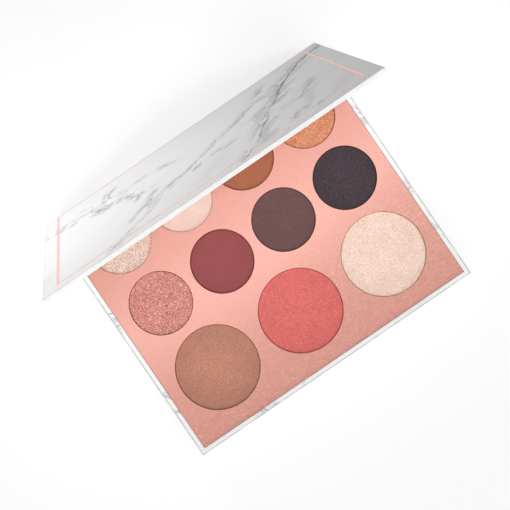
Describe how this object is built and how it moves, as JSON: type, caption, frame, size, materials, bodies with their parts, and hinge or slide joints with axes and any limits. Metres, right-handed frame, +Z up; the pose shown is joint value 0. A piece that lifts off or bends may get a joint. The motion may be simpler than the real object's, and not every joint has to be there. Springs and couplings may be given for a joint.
{
  "type": "eyeshadow palette",
  "caption": "Flat wrapped-board makeup palette with pressed powder pans under a face card and a hinged mirror lid, shown open.",
  "frame": {"origin": "middle of the tray's underside", "axes": "+Z up, +X along the hinge to the user's right, +Y from the front edge to the hinge"},
  "size_m": [0.13, 0.1117, 0.1144],
  "materials": {
    "marble_paper": "satin",
    "underside_paper": "matte",
    "greyboard": "matte",
    "insert_card": "matte",
    "pearl_card": "satin",
    "liner_paper": "satin",
    "pan_metal": "satin",
    "glue": "matte",
    "magnet_metal": "satin",
    "keeper_steel": "satin",
    "mirror": "polished",
    "foil": "gloss",
    "powder_champagne": "matte",
    "powder_cream": "matte",
    "powder_tan": "matte",
    "powder_copper": "matte",
    "powder_rose": "matte",
    "powder_burgundy": "matte",
    "powder_brown": "matte",
    "powder_black": "matte",
    "powder_bronzer": "matte",
    "powder_blush": "matte",
    "powder_highlighter": "matte"
  },
  "bodies": {
    "tray": {"bottom_sheet": "underside_paper", "base_board": "greyboard", "front_wall": "greyboard", "back_wall": "greyboard", "left_wall": "greyboard", "right_wall": "greyboard", "tray_wrap": "marble_paper", "insert_backing": "insert_card", "pan_carrier": "insert_card", "pan_adhesive": "glue", "pan_champagne": "pan_metal", "pan_cream": "pan_metal", "pan_tan": "pan_metal", "pan_copper": "pan_metal", "pan_rose": "pan_metal", "pan_burgundy": "pan_metal", "pan_brown": "pan_metal", "pan_black": "pan_metal", "pan_bronzer": "pan_metal", "pan_blush": "pan_metal", "pan_highlighter": "pan_metal", "powder_champagne": "powder_champagne", "powder_cream": "powder_cream", "powder_tan": "powder_tan", "powder_copper": "powder_copper", "powder_rose": "powder_rose", "powder_burgundy": "powder_burgundy", "powder_brown": "powder_brown", "powder_black": "powder_black", "powder_bronzer": "powder_bronzer", "powder_blush": "powder_blush", "powder_highlighter": "powder_highlighter", "face_card": "pearl_card", "tray_magnets": "magnet_metal", "hinge_strip": "marble_paper"},
    "lid": {"lid_board": "greyboard", "lid_frame_board": "greyboard", "lid_wrap": "marble_paper", "lid_liner": "liner_paper", "mirror": "mirror", "mirror_adhesive": "glue", "lid_keepers": "keeper_steel", "foil_border": "foil"}
  },
  "joints": [
    {"name": "lid_hinge", "type": "hinge", "parent": "tray", "child": "lid", "pos_m": [0, 0.05515, 0.00833], "axis": [-1, 0, 0], "range_deg": [-73.5, 106.5], "deforming": ["hinge_strip"]}
  ]
}
